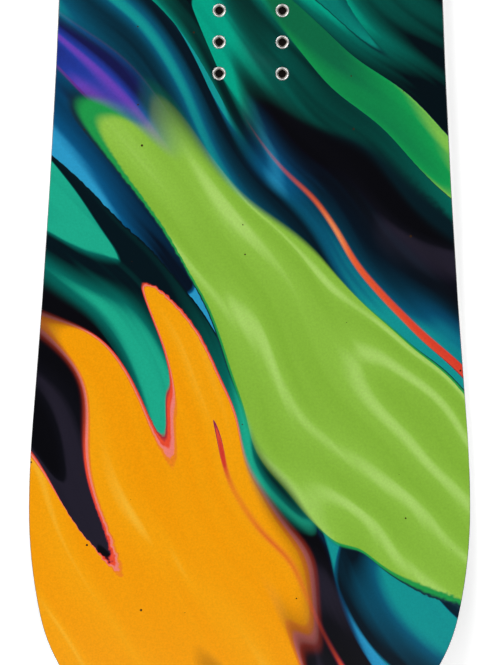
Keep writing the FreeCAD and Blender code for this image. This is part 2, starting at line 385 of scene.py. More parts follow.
@dataclass(frozen=True)
class PrintedTopsheet(Finish):
    """Satin nylon film, printed from below with sheets of poured paint."""

    name: str = "printed satin nylon film"
    ground: Paint = Paint.BLACK
    ground_seed: float = 43.1
    pours: tuple[Pour, ...] = (
        Pour((50, -235), (380, 106), Paint.EMERALD, 3.1),
        Pour((-80, -330), (330, 66), Paint.BLUE, 11.4),
        Pour((-100, -430), (240, 34), Paint.JADE, 51.2),
        Pour((105, -545), (320, 74), Paint.TEAL, 17.2),
        Pour((-85, -300), (170, 26), Paint.VIOLET, 19.6),
        Pour((95, -330), (120, 12), Paint.LEAF, 37.3),
        Pour((45, -495), (190, 55), Paint.LIME, 23.7),
        Pour((-75, -630), (195, 90), Paint.ORANGE, 31.9),
        Pour((15, -575), (150, 5), Paint.CORAL, 61.5),
        Pour((75, -420), (160, 2), Paint.VERMILION, 67.8),
        Pour((-40, 40), (420, 110), Paint.SEA, 91.7),
        Pour((70, 180), (330, 60), Paint.COBALT, 97.3),
        Pour((-60, 330), (230, 62), Paint.LIME, 103.9),
        Pour((60, 470), (300, 70), Paint.PINE, 109.1),
        Pour((90, 620), (220, 75), Paint.ORANGE, 113.6),
        Pour((-70, 660), (240, 55), Paint.LAKE, 127.4),
    )
    # Size and reach of the swells that bend the plan, and the noises drawn out along the
    # flow. Paint lies calm, streaked by thin lines and rippled in patches of their own.
    flow_degrees: float = 56.0
    bends_mm: tuple[Point, ...] = ((330.0, 190.0), (110.0, 34.0))
    bend_detail: float = 0.5
    tongue_mm: Point = (360.0, 66.0)
    calm: Grain = drawn_out(170.0, 70.0, 71.3, 0.0)
    streak: Grain = drawn_out(260.0, 11.0, 83.9, 2.0)
    ripple: Grain = drawn_out(240.0, 40.0, 57.7, 0.0)
    # Edges fray by a grit where calm is low and blur where it is high, and rims swell
    # with the ripple. Pairs are the noise values at which an effect starts and is full.
    grit: Grain = Grain((3.4, 3.4, 3.4), 1.0)
    grit_depth: float = 0.06
    fray_calm: Point = (0.5, 0.35)
    blur_calm: Point = (0.5, 0.75)
    hard_edge: float = 0.012
    swell_ripple: Point = (0.35, 0.65)
    swell: Point = (0.3, 2.2)
    blurred_rim: float = 0.1
    rim_overlap: float = 0.6
    # A fold rises over this part of its width, and its crease softens where paint is calm.
    fold_ripple: float = 0.6
    fold_rise: Point = (0.12, 0.8)
    crease_calm: Point = (0.5, 0.7)
    soft_crease: float = 0.6
    streak_span: Point = (0.3, 0.7)
    streak_depth: float = 0.15
    crest_span: Point = (0.6, 1.0)
    crest_depth: float = 0.85
    # Print dots, drawn coarser than real so that they show, and pinholes of popped bubbles.
    dots: Grain = Grain((1.2, 1.2, 1.2), 2.0)
    dot_span: Point = (0.3, 0.7)
    dot_depth: float = 0.055
    speck_gap_mm: float = 34.0
    speck_mm: float = 0.8
    speck_free_share: float = 0.7
    speck: str = "#3a2410"
    # The film's own skin scatters light softly and hardly mirrors it.
    film: Grain = Grain((0.55, 0.55, 0.55), 1.0)
    film_relief_mm: float = 0.02
    film_relief_strength: float = 0.35
    film_roughness: float = 0.3
    film_specular: float = 0.2

    def surface(self, tree: Tree, where: Socket) -> Node:
        """Lay the pours over each other under a satin film.

        Args:
            tree: Material tree.
            where: Object coordinates.

        Returns:
            The shader.
        """
        currents = self.currents(tree, where)
        tongue = self.tongues(tree, currents, self.ground_seed)
        colour = self.sheet(tree, currents, tongue, self.ground.value, self.ground_seed)
        for pour in self.pours:
            colour = self.lay(tree, currents, colour, pour)
        colour = self.pepper(tree, where, self.speckle(tree, where, colour))
        bump = add(tree, "Bump", {
            "Height": self.film.noise(tree, where), "Distance": self.film_relief_mm * MM,
            "Strength": self.film_relief_strength,
        })
        return add(tree, "BsdfPrincipled", {
            "Base Color": colour, "Roughness": self.film_roughness,
            "Specular IOR Level": self.film_specular, "Normal": bump,
        })

    def currents(self, tree: Tree, where: Socket) -> Currents:
        """Bend the plan by its swells, and make the noises that sheets share.

        Args:
            tree: Material tree.
            where: Object coordinates.

        Returns:
            What every sheet reads.
        """
        bent = add(tree, "VectorMath", where, (1.0, 1.0, 0.0), operation="MULTIPLY").outputs[0]
        for size, reach in self.bends_mm:
            swell = Grain((size, size, size), self.bend_detail).noise(tree, bent)
            centred = add(tree, "VectorMath", swell.outputs["Color"], (0.5, 0.5, 0.5), operation="SUBTRACT")
            shift = add(tree, "VectorMath", centred, (reach * MM, reach * MM, 0.0), operation="MULTIPLY")
            bent = add(tree, "VectorMath", bent, shift, operation="ADD").outputs[0]
        flow = add(tree, "VectorRotate", {"Vector": bent, "Angle": math.radians(self.flow_degrees)},
                   rotation_type="Z_AXIS").outputs[0]
        calm = self.calm.noise(tree, flow)
        rough = add(tree, "MapRange", calm, *self.fray_calm, 0.0, self.grit_depth)
        fine = add(tree, "Math", self.grit.noise(tree, where), 0.5, operation="SUBTRACT")
        return Currents(
            bent, flow, streak=self.streak.noise(tree, flow), ripple=self.ripple.noise(tree, flow),
            calm=calm, grit=add(tree, "Math", fine, rough, operation="MULTIPLY"),
        )

    def tongues(self, tree: Tree, currents: Currents, seed: float) -> Node:
        """Add the noise that shapes a sheet's tongues and folds."""
        return drawn_out(*self.tongue_mm, seed).noise(tree, currents.flow)

    def lay(self, tree: Tree, currents: Currents, under: Socket, pour: Pour) -> Socket:
        """Lay one sheet of paint over the colour below it.

        Args:
            tree: Material tree.
            currents: Shared sockets and noises.
            under: Colour below.
            pour: The sheet of paint.

        Returns:
            Colour with the sheet over it.
        """
        paint = pour.paint.value
        oval = add(tree, "Mapping", {
            "Vector": currents.bent, "Location": (pour.centre_mm[0] * MM, pour.centre_mm[1] * MM, 0.0),
            "Rotation": (0.0, 0.0, math.radians(-self.flow_degrees)),
            "Scale": (pour.reach_mm[0] * MM, pour.reach_mm[1] * MM, 1.0),
        }, vector_type="TEXTURE")
        away = add(tree, "VectorMath", oval, operation="LENGTH").outputs["Value"]
        tongue = self.tongues(tree, currents, pour.seed)
        height = add(tree, "Math", tongue, 2 * paint.wander, 1 - paint.wander, operation="MULTIPLY_ADD")
        smooth = add(tree, "Math", height, away, operation="SUBTRACT")
        past = add(tree, "Math", smooth, currents.grit, operation="ADD")
        blur = add(tree, "MapRange", currents.calm, *self.blur_calm, self.hard_edge, paint.softness,
                   interpolation_type="SMOOTHSTEP")
        cover = add(tree, "MapRange", past, 0.0, blur, interpolation_type="SMOOTHSTEP")
        swollen = add(tree, "MapRange", currents.ripple, *self.swell_ripple,
                      self.swell[0] * paint.rim_width, self.swell[1] * paint.rim_width)
        step = add(tree, "Math", blur, self.blurred_rim, swollen, operation="MULTIPLY_ADD")
        colour = linear(paint.rims[0])
        inner = [linear(rim) for rim in paint.rims[1:]]
        inner.append(self.sheet(tree, currents, tongue, paint, pour.seed))
        for number, after in enumerate(inner, start=1):
            begin, end = (add(tree, "Math", step, place, operation="MULTIPLY")
                          for place in (number - self.rim_overlap, float(number)))
            share = add(tree, "MapRange", past, begin, end, interpolation_type="SMOOTHSTEP")
            colour = add(tree, "Mix", {"Factor": share, 6: colour, 7: after}, data_type="RGBA").outputs[2]
        return add(tree, "Mix", {"Factor": cover, 6: under, 7: colour}, data_type="RGBA").outputs[2]

    def sheet(self, tree: Tree, currents: Currents, tongue: Node, paint: Mixture, seed: float) -> Socket:
        """Colour within a sheet.

        Args:
            tree: Material tree.
            currents: Shared sockets and noises.
            tongue: Noise whose level lines the folds follow.
            paint: Colours and folds of the sheet.
            seed: Where in its folds the sheet begins.

        Returns:
            Colour of the folded sheet.
        """
        phase = add(tree, "Math", tongue, 2 * paint.folds, seed, operation="MULTIPLY_ADD")
        ruffled = add(tree, "Math", currents.ripple, self.fold_ripple, phase, operation="MULTIPLY_ADD")
        saw = add(tree, "Math", ruffled, operation="FRACT")
        crease = add(tree, "MapRange", currents.calm, *self.crease_calm, 1.0 - paint.fall, self.soft_crease)
        rise, fall = (
            add(tree, "MapRange", saw, start, full, paint.body, 1.0, interpolation_type="SMOOTHSTEP")
            for start, full in (self.fold_rise, (1.0, crease)))
        folded = add(tree, "Math", rise, fall, operation="MULTIPLY")
        thin = add(tree, "MapRange", currents.streak, *self.streak_span, -self.streak_depth,
                   self.streak_depth)
        lit = add(tree, "Math", folded, thin, operation="ADD", use_clamp=True)
        crest = add(tree, "MapRange", lit, *self.crest_span, 0.0, self.crest_depth,
                    interpolation_type="SMOOTHSTEP")
        body = add(tree, "Mix", {"Factor": lit, 6: linear(paint.deep), 7: linear(paint.light)},
                   data_type="RGBA")
        return add(tree, "Mix", {"Factor": crest, 6: body.outputs[2], 7: linear(paint.glow)},
                   data_type="RGBA").outputs[2]

    def speckle(self, tree: Tree, where: Socket, under: Socket) -> Socket:
        """Lighten and darken the print by its dots.

        Args:
            tree: Material tree.
            where: Object coordinates.
            under: Colour of the print.

        Returns:
            Colour with the dots.
        """
        gain = add(tree, "MapRange", self.dots.noise(tree, where), *self.dot_span, 1 - self.dot_depth,
                   1 + self.dot_depth)
        return add(tree, "VectorMath", {0: under, "Scale": gain}, operation="SCALE").outputs[0]

    def pepper(self, tree: Tree, where: Socket, under: Socket) -> Socket:
        """Strew a few dark pinholes, as popped bubbles leave in poured paint.

        Args:
            tree: Material tree.
            where: Object coordinates.
            under: Colour of the print.

        Returns:
            Colour with the pinholes.
        """
        cells = add(tree, "TexVoronoi", {"Vector": where, "Scale": 1 / (self.speck_gap_mm * MM)},
                    voronoi_dimensions="2D")
        chosen = add(tree, "SeparateXYZ", cells.outputs["Color"])
        size = add(tree, "MapRange", chosen.outputs["X"], self.speck_free_share, 1.0, 0.0,
                   self.speck_mm / self.speck_gap_mm)
        hit = add(tree, "Math", cells.outputs["Distance"], size, operation="LESS_THAN")
        return add(tree, "Mix", {"Factor": hit, 6: under, 7: linear(self.speck)},
                   data_type="RGBA").outputs[2]


@dataclass(frozen=True)
class GlassLaminate(Finish):
    """Stitched glass cloth in clear epoxy, seen as a thin pale green line at the sides."""

    name: str = "stitched glass in epoxy"
    resin: str = "#8d9a78"
    yarn: str = "#b9c2a2"
    yarn_mm: float = 1.775
    yarn_waver: float = 1.5
    wave_radians: float = 20.0  # What a wave texture of scale 1 turns through in a metre.
    relief_mm: float = 0.02
    relief_strength: float = 0.3
    roughness: float = 0.35
    ior: float = 1.54

    def surface(self, tree: Tree, where: Socket) -> Node:
        """Pale rovings, as wide as their gaps and coarser than real, show through the resin.

        Args:
            tree: Material tree.
            where: Object coordinates.

        Returns:
            The shader.
        """
        weave = add(tree, "TexWave", {
            "Vector": where, "Scale": math.pi / (self.yarn_mm * MM) / self.wave_radians,
            "Distortion": self.yarn_waver, "Detail": 1.0,
        }).outputs["Fac"]
        mixed = add(tree, "Mix", {"Factor": weave, 6: linear(self.resin), 7: linear(self.yarn)},
                    data_type="RGBA")
        bump = add(tree, "Bump", {
            "Height": weave, "Distance": self.relief_mm * MM, "Strength": self.relief_strength,
        })
        return add(tree, "BsdfPrincipled", {
            "Base Color": mixed.outputs[2], "Roughness": self.roughness, "IOR": self.ior,
            "Normal": bump,
        })


@dataclass(frozen=True)
class GrainedFinish(Finish):
    """Two tones blended by one or two grains.

    The first grain is the relief as well, and the last one varies the roughness
    where two values of it are given.
    """

    name: str
    low: str
    high: str
    grains: tuple[Grain, ...]
    roughness: tuple[float, ...]
    second_share: float = 0.5
    relief_mm: float = 0.0
    relief_strength: float = 0.3
    ior: float = 1.5
    metallic: float = 0.0

    def surface(self, tree: Tree, where: Socket) -> Node:
        """Blend the tones, and set the roughness and the relief.

        Args:
            tree: Material tree.
            where: Object coordinates.

        Returns:
            The shader.
        """
        noises = [grain.noise(tree, where) for grain in self.grains]
        shader = {"Base Color": self.tones(tree, where, noises), "Roughness": self.roughness[0],
                  "IOR": self.ior, "Metallic": self.metallic}
        if len(self.roughness) > 1:
            shader["Roughness"] = add(tree, "MapRange", noises[-1], 0.0, 1.0, *self.roughness)
        if self.relief_mm:
            shader["Normal"] = add(tree, "Bump", {
                "Height": noises[0], "Distance": self.relief_mm * MM, "Strength": self.relief_strength,
            })
        return add(tree, "BsdfPrincipled", shader)

    def tones(self, tree: Tree, where: Socket, noises: list[Node]) -> Socket:
        """Blend the two tones by the grains.

        Args:
            tree: Material tree.
            where: Object coordinates.
            noises: The finish's grains.

        Returns:
            Colour of the surface.
        """
        tone = noises[0]
        for second in noises[1:]:
            tone = add(tree, "Mix", {"Factor": self.second_share, 2: tone, 3: second}, data_type="FLOAT")
        return add(tree, "Mix", {"Factor": tone, 6: linear(self.low), 7: linear(self.high)},
                   data_type="RGBA").outputs[2]


@dataclass(frozen=True)
class MilledPlastic(GrainedFinish):
    """Black ABS, milled along the board, which leaves fine lengthwise lines in a slightly greyed skin."""

    name: str = "milled black ABS"
    low: str = "#121214"
    high: str = "#26262a"
    grains: tuple[Grain, ...] = (Grain((0.5, 60.0, 0.5), 3.0),)
    roughness: tuple[float, ...] = (0.46,)
    relief_mm: float = 0.05
    relief_strength: float = 0.4
    ior: float = 1.54


@dataclass(frozen=True)
class SpacerPlastic(MilledPlastic):
    """Black ABS sheet of the tip spacers, a shade greyer than the sidewalls."""

    name: str = "milled black ABS sheet"
    low: str = "#17171a"


@dataclass(frozen=True)
class GroundSteel(GrainedFinish):
    """Hardened steel edge, ground with a belt along the board, which leaves bright fine scratches."""

    name: str = "ground hardened steel"
    low: str = "#a9a9a8"
    high: str = "#cfcfcd"
    grains: tuple[Grain, ...] = (Grain((0.25, 25.0, 0.25), 4.0, 0.65),)
    roughness: tuple[float, ...] = (0.22, 0.42)
    relief_mm: float = 0.02
    metallic: float = 1.0


@dataclass(frozen=True)
class RubberFoil(GrainedFinish):
    """Thin calendered rubber, dull and nearly black under a bloom of talc."""

    name: str = "calendered black rubber"
    low: str = "#101010"
    high: str = "#1e1e1e"
    grains: tuple[Grain, ...] = (Grain((9.0, 9.0, 9.0), 3.0),)
    roughness: tuple[float, ...] = (0.8,)


@dataclass(frozen=True)
class SinteredBase(GrainedFinish):
    """Black sintered polyethylene, stone-ground and waxed.

    Its grinding lines along the board are drawn coarser than real so that they
    show, and the wax gives a cloudy bloom.
    """

    name: str = "stone-ground sintered polyethylene"
    low: str = "#131315"
    high: str = "#232326"
    grains: tuple[Grain, ...] = (Grain((1.6, 90.0, 1000.0), 1.0), Grain((60.0, 60.0, 60.0), 3.0))
    roughness: tuple[float, ...] = (0.36, 0.5)
    relief_mm: float = 0.03


@dataclass(frozen=True)
class PlanedWood(GrainedFinish):
    """Planed poplar, pale and dry, with growth rings and fine pores drawn out along the board."""

    name: str = "planed poplar"
    low: str = "#d8c096"
    high: str = "#b99a6a"
    grains: tuple[Grain, ...] = (Grain((3.5, 160.0, 3.5)), Grain((0.35, 12.0, 0.35)))
    roughness: tuple[float, ...] = (0.62,)
    second_share: float = 0.35


@dataclass(frozen=True)
class PlanedBeech(PlanedWood):
    """Planed beech, redder and denser than the poplar beside it."""

    name: str = "planed beech"
    low: str = "#c79a6e"
    high: str = "#a3744c"
    grains: tuple[Grain, ...] = (Grain((2.2, 160.0, 2.2)), Grain((0.35, 12.0, 0.35)))


@dataclass(frozen=True)
class TurnedStainless(GrainedFinish):
    """Turned and polished stainless steel, bright at its lip, with painted shade that darkens the
    countersink and bore below it.
    """

    name: str = "turned stainless steel"
    low: str = "#f4f4f2"
    high: str = "#dededc"
    grains: tuple[Grain, ...] = (Grain((0.8, 0.8, 0.8), 3.0),)
    roughness: tuple[float, ...] = (0.22, 0.36)
    metallic: float = 1.0
    # Painted shade: this grey stands in for the shade that falls into the countersink and bore.
    bore_shade: str = "#6e6a64"
    lip_foot_mm: Point = (9.93, 10.0)

    def tones(self, tree: Tree, where: Socket, noises: list[Node]) -> Socket:
        """Darken the countersink and bore with painted shade, told from the lip by their heights.

        Args:
            tree: Material tree.
            where: Object coordinates.
            noises: The finish's grains.

        Returns:
            Colour of the surface.
        """
        # Below the lip's foot the steel takes the painted shade of the recess; the lip keeps its own bright
        # tone.
        unshaded = add(tree, "MapRange", add(tree, "SeparateXYZ", where).outputs["Z"],
                    self.lip_foot_mm[0] * MM, self.lip_foot_mm[1] * MM)
        bright = super().tones(tree, where, noises)
        return add(tree, "Mix", {"Factor": unshaded, 6: linear(self.bore_shade), 7: bright},
                   data_type="RGBA").outputs[2]


class BoardFinish(Enum):
    """The finishes on the board, and the name of each one's material slot."""

    PRINT = ("printed_topsheet", PrintedTopsheet())
    GLASS = ("glass_laminate", GlassLaminate())
    POPLAR = ("poplar", PlanedWood())
    BEECH = ("beech", PlanedBeech())
    SIDEWALL = ("sidewall", MilledPlastic())
    SPACER = ("tip_spacer", SpacerPlastic())
    EDGE = ("steel_edge", GroundSteel())
    FOIL = ("rubber_foil", RubberFoil())
    BASE = ("sintered_base", SinteredBase())
    INSERT = ("insert_steel", TurnedStainless())

    @property
    def slot(self) -> str:
        """Name of the finish's material slot."""
        return self.value[0]

    @property
    def material(self) -> bpy.types.Material:
        """Blender material of the finish."""
        return self.value[1].material()


# ---- plan outline and side profile ----

@dataclass(frozen=True)
class Arc:
    """Arc of the plan outline: centre, radius and two angles."""

    centre: Vector
    radius: float
    start: float
    end: float

    def points(self, inset: float, chord_error: float) -> Line:
        """Points along the arc, moved into the board by an inset.

        Args:
            inset: Distance into the board.
            chord_error: Most that a chord may miss the arc by.

        Returns:
            Points from start to end. Their number doesn't depend on the inset.
        """
        step = 2 * math.acos(1 - chord_error / self.radius)
        count = max(2, math.ceil(abs(self.end - self.start) / step))
        outside = math.cos(self.start) > 0
        radius = self.radius - inset if outside else self.radius + inset
        angles = [self.start + (self.end - self.start) * index / count for index in range(count + 1)]
        return [(self.centre.x + radius * math.cos(angle), self.centre.y + radius * math.sin(angle))
                for angle in angles]


@dataclass(frozen=True)
class Outline:
    """Plan outline of the board, as tangent arcs for one quarter."""

    length: float
    widest: float
    waist: float = 234 * MM
    widest_to_tip: float = 154 * MM
    flare_radius: float = 716 * MM
    shoulder_radius: float = 300 * MM
    corner_radius: float = 105 * MM
    tip_radius: float = 200 * MM
    chord_error: float = 0.006 * MM

    def arcs(self, pinch: float = 0.0) -> list[Arc]:
        """Arcs from the waist to the tip.

        Args:
            pinch: Distance by which the waist moves in.

        Returns:
            The arcs, each tangent to the one before it.
        """
        half_waist = self.waist / 2 - pinch
        depth = self.widest / 2 - half_waist
        widest_y = self.length / 2 - self.widest_to_tip
        reach = (depth ** 2 + widest_y ** 2) / (2 * depth)
        sidecut_radius = reach - self.flare_radius
        flare_angle = math.asin(widest_y / reach)
        sidecut_centre = Vector((half_waist + sidecut_radius, 0))
        flare_centre = Vector((self.widest / 2 - self.flare_radius, widest_y))
        shoulder_centre = Vector((self.widest / 2 - self.shoulder_radius, widest_y))
        tip_centre = Vector((0, self.length / 2 - self.tip_radius))
        corner = self.corner_centre(shoulder_centre, tip_centre)
        to_corner = corner - shoulder_centre
        from_tip = corner - tip_centre
        shoulder_angle = math.atan2(to_corner.y, to_corner.x)
        corner_angle = math.atan2(from_tip.y, from_tip.x)
        return [
            Arc(sidecut_centre, sidecut_radius, math.pi, math.pi - flare_angle),
            Arc(flare_centre, self.flare_radius, -flare_angle, 0.0),
            Arc(shoulder_centre, self.shoulder_radius, 0.0, shoulder_angle),
            Arc(corner, self.corner_radius, shoulder_angle, corner_angle),
            Arc(tip_centre, self.tip_radius, corner_angle, math.pi / 2),
        ]

    def corner_centre(self, shoulder_centre: Vector, tip_centre: Vector) -> Vector:
        """Centre of the corner arc, which touches the shoulder and tip arcs.

        Args:
            shoulder_centre: Centre of the shoulder arc.
            tip_centre: Centre of the tip arc.

        Returns:
            The centre.
        """
        to_shoulder = self.shoulder_radius - self.corner_radius
        to_tip = self.tip_radius - self.corner_radius
        line = tip_centre - shoulder_centre
        along = (to_shoulder ** 2 - to_tip ** 2 + line.length ** 2) / (2 * line.length)
        off = math.sqrt(to_shoulder ** 2 - along ** 2)
        line.normalize()
        return shoulder_centre + line * along + Vector((-line.y, line.x)) * off

    def side(self, inset: float = 0.0, pinch: float = 0.0) -> Line:
        """Toe side of the outline from the tail's tip to the nose's.

        Args:
            inset: Distance by which the whole outline moves in.
            pinch: Distance by which the waist moves in as well.

        Returns:
            Points of the line. Their number doesn't depend on the inset.
        """
        nose_half: Line = []
        for arc in self.arcs(pinch):
            nose_half += arc.points(inset, self.chord_error)[1 if nose_half else 0:]
        tail_half = [(x, -y) for x, y in reversed(nose_half[1:])]
        return tail_half + nose_half


def cut(line: Line, low: float, high: float) -> Line:
    """Cut a line off at two places along the board, with points added there.

    Args:
        line: The line.
        low: Place of the cut nearer to the tail.
        high: Place of the cut nearer to the nose.

    Returns:
        The part of the line between the two places.
    """
    kept: Line = []
    for before, after in zip(line, line[1:]):
        span = after[1] - before[1]
        for place in (before, after):
            if low <= place[1] <= high and (not kept or kept[-1] != place):
                kept.append(place)
        for limit in (low, high):
            if min(before[1], after[1]) < limit < max(before[1], after[1]):
                share = (limit - before[1]) / span
                point = (before[0] + (after[0] - before[0]) * share, limit)
                kept.insert(len(kept) - 1 if kept and kept[-1] == after else len(kept), point)
    return kept


def other_side(line: Line) -> Line:
    """Mirror image of a line on the heel side."""
    return [(-x, y) for x, y in line]


@dataclass(frozen=True)
class Joint:
    """Place on the side profile where two arcs meet."""

    y: float
    z: float
    heading: float = 0.0

    def along(self, radius: float, heading: float) -> "Joint":
        """Joint reached by following an arc to a new heading."""
        return Joint(self.y + radius * (math.sin(heading) - math.sin(self.heading)),
                     self.z + radius * (math.cos(self.heading) - math.cos(heading)), heading)

    def raised(self, height: float) -> "Joint":
        """Joint of the parallel profile at a height above this one."""
        return Joint(self.y - height * math.sin(self.heading), self.z + height * math.cos(self.heading),
                     self.heading)

    def radius_to(self, other: "Joint") -> float:
        """Signed radius of the arc to another joint, positive where it bends up."""
        chord = math.hypot(other.y - self.y, other.z - self.z)
        return chord / (2 * math.sin((other.heading - self.heading) / 2))


@dataclass(frozen=True)
class Mould:
    """Press mould that gives the flat layers their side profile."""

    length: float
    core_floor: float
    flat_to_tip: float = 210 * MM
    roll_radius: float = 1500 * MM
    roll_reach: float = 40 * MM
    kick_radius: float = 420 * MM
    core_thickness: float = 6.8 * MM
    core_tip_thickness: float = 1.7 * MM
    taper_start: float = 320 * MM
    taper_past_flat: float = 20 * MM

    ARC_KEYS = ("Start", "Radius", "Centre Y", "Centre Z")

    @property
    def core_top(self) -> float:
        """Height of the core's top in the middle of the board."""
        return self.core_floor + self.core_thickness

    def base_joints(self) -> list[Joint]:
        """Follow the underside from the end of the flat outwards.

        Returns:
            The joints of its arcs.
        """
        flat_end = Joint(self.length / 2 - self.flat_to_tip, 0.0)
        roll_end = flat_end.along(self.roll_radius, math.asin(self.roll_reach / self.roll_radius))
        rise = math.sin(roll_end.heading) + (self.length / 2 - roll_end.y) / self.kick_radius
        return [flat_end, roll_end, roll_end.along(self.kick_radius, math.asin(rise))]

    def deck_joints(self) -> list[Joint]:
        """Follow the core's top from the start of its taper outwards.

        Returns:
            The joints of its arcs.
        """
        flat_end, roll_end, tip = self.base_joints()
        tip_height = self.core_floor + self.core_tip_thickness
        start = Joint(self.taper_start, self.core_top)
        below_end = flat_end.along(self.roll_radius, math.asin(self.taper_past_flat / self.roll_radius))
        end = below_end.raised(tip_height)
        return [start, self.between(start, end), end, roll_end.raised(tip_height), tip.raised(tip_height)]

    @staticmethod
    def between(start: Joint, end: Joint) -> Joint:
        """Find where the two arcs that run from one joint to another meet.

        Args:
            start: The first joint.
            end: The last joint.

        Returns:
            The joint between them, at which the two arcs are tangent.
        """
        run = Vector((end.y - start.y, end.z - start.z))
        leave = Vector((math.cos(start.heading), math.sin(start.heading)))
        arrive = Vector((math.cos(end.heading), math.sin(end.heading)))
        lean = run.dot(leave + arrive)
        spread = 2 * (1 - leave.dot(arrive)) * run.dot(run)
        handle = run.dot(run) / (lean + math.sqrt(lean ** 2 + spread))
        bridge = run - (leave + arrive) * handle
        middle = Vector((start.y, start.z)) + leave * handle + bridge / 2
        return Joint(middle.x, middle.y, math.atan2(bridge.y, bridge.x))

    def profiles(self) -> dict[str, tuple[float, list[Joint]]]:
        """Height in the middle, and joints, of the base and the deck."""
        return {"Base": (0.0, self.base_joints()), "Deck": (self.core_top, self.deck_joints())}

    def tree(self) -> tuple[Tree, dict[str, float]]:
        """Geometry tree that presses flat layers to the profile, and its sizes.

        A point's height counts from the base, or from the core's top where its
        on_deck attribute is 1, and its place in plan stays as it is.

        Returns:
            The tree and the value of each of its named inputs.
        """
        values: dict[str, float] = {}
        for name, (middle, joints) in self.profiles().items():
            values[name + " Middle"] = middle
            for number, (start, end) in enumerate(zip(joints, joints[1:]), start=1):
                radius = start.radius_to(end)
                arc = (start.y, radius, start.y - radius * math.sin(start.heading),
                       start.z + radius * math.cos(start.heading))
                values.update({"%s %d %s" % (name, number, key): size
                               for key, size in zip(self.ARC_KEYS, arc)})
        tree, given = open_tree("press to the side profile", values)
        place = add(tree, "GeometryNodeInputPosition")
        parts = add(tree, "SeparateXYZ", place)
        along = add(tree, "Math", parts.outputs["Y"], operation="ABSOLUTE")
        heights = {name: self.add_profile(tree, given, name, len(joints) - 1, along, parts.outputs["Z"])
                   for name, (_, joints) in self.profiles().items()}
        on_deck = add(tree, "GeometryNodeInputNamedAttribute", {"Name": "on_deck"}, data_type="FLOAT")
        height = add(tree, "Mix", {0: on_deck, 2: heights["Base"], 3: heights["Deck"]}, data_type="FLOAT")
        pressed = add(tree, "CombineXYZ", parts.outputs["X"], parts.outputs["Y"], height)
        moved = add(tree, "GeometryNodeSetPosition", {
            "Geometry": given.outputs["Geometry"], "Position": pressed,
        })
        close_tree(tree, given, moved)
        return tree, values

    @staticmethod
    def add_profile(tree: Tree, given: Node, name: str, arcs: int, along: Node, above: Socket) -> Node:
        """Add the nodes that give the height of one profile.

        Args:
            tree: The tree.
            given: Its group input node.
            name: Base or Deck.
            arcs: Number of arcs in the profile.
            along: Distance from the middle of the board.
            above: Height above the profile.

        Returns:
            Node that gives the height above the floor.
        """
        height = add(tree, "Math", above, given.outputs[name + " Middle"], operation="ADD")
        for number in range(1, arcs + 1):
            begin, bend, centre_y, centre_z = (
                given.outputs["%s %d %s" % (name, number, key)] for key in Mould.ARC_KEYS)
            radius = add(tree, "Math", bend, above, operation="SUBTRACT")
            reach = add(tree, "Math", along, centre_y, operation="SUBTRACT")
            squares = (add(tree, "Math", side, side, operation="MULTIPLY") for side in (radius, reach))
            rest = add(tree, "Math", *squares, operation="SUBTRACT")
            root = add(tree, "Math", rest, operation="SQRT")
            sign = add(tree, "Math", bend, operation="SIGN")
            fall = add(tree, "Math", root, sign, operation="MULTIPLY")
            on_arc = add(tree, "Math", centre_z, fall, operation="SUBTRACT")
            past = add(tree, "FunctionNodeCompare", along, begin, data_type="FLOAT",
                       operation="GREATER_THAN")
            height = add(tree, "GeometryNodeSwitch", past, height, on_arc, input_type="FLOAT")
        return height


@dataclass(frozen=True)
class Rail:
    """Line in plan that a layer's section follows, at a height above base or deck."""

    line: Line
    above: float
    on_deck: bool = False


def loft(name: str, rails: list[Rail]) -> bpy.types.Object:
    """Make a flat closed layer through rails that have as many points each.

    Args:
        name: Name of the piece.
        rails: Corners of the layer's section, in order round it.

    Returns:
        The layer, before it is pressed.
    """
    shape = bmesh.new()
    deck = shape.verts.layers.float.new("on_deck")
    rows = []
    for rail in rails:
        row = [shape.verts.new((x, y, rail.above)) for x, y in rail.line]
        for vertex in row:
            vertex[deck] = float(rail.on_deck)
        rows.append(row)
    for row, beside in zip(rows, rows[1:] + rows[:1]):
        for index in range(len(row) - 1):
            shape.faces.new((row[index], row[index + 1], beside[index + 1], beside[index]))
    shape.faces.new([row[0] for row in reversed(rows)])
    shape.faces.new([row[-1] for row in rows])
    bmesh.ops.remove_doubles(shape, verts=shape.verts, dist=WELD)
    bmesh.ops.dissolve_degenerate(shape, edges=shape.edges, dist=SLIVER)
    return closed_piece(name, shape)


# ---- sub-assemblies ----

@dataclass
class Press:
    """Outline and mould together, which make every pressed piece of the board.

    The deck's border lies inside the outline by an inset and by a pinch at the waist,
    since the sidewalls lean in.
    """

    outline: Outline
    mould: Mould
    deck_inset: float = 0.305 * MM
    deck_pinch: float = 0.536 * MM
    tree: Tree = field(init=False)
    sizes: dict[str, float] = field(init=False)

    def __post_init__(self) -> None:
        """Build the mould's geometry tree once."""
        self.tree, self.sizes = self.mould.tree()

    def press(self, piece: bpy.types.Object, finish: BoardFinish, nodes: list[str]) -> None:
        """Press a flat piece to the profile, dress it and fasten it to the board.

        Args:
            piece: The flat piece.
            finish: What it is dressed in.
            nodes: CAD nodes that it stands for.
        """
        bake(piece, self.tree, {**self.sizes, "Material": finish.material})
        hand_over(piece, finish.slot, nodes)

    def deck_side(self) -> Line:
        """Toe side of the deck's border."""
        return self.outline.side(self.deck_inset, self.deck_pinch)

    @staticmethod
    def plate(name: str, side: Line, low: float, high: float, on_deck: bool = False) -> bpy.types.Object:
        """Make a flat full-width layer between two heights.

        Args:
            name: Name of the piece.
            side: Toe side of its outline.
            low: Height of its lower face.
            high: Height of its upper face.
            on_deck: Whether the heights count from the top of the core.

        Returns:
            The layer, before it is pressed.
        """
        heel = other_side(side)
        corners = ((side, low), (side, high), (heel, high), (heel, low))
        return loft(name, [Rail(line, above, on_deck) for line, above in corners])


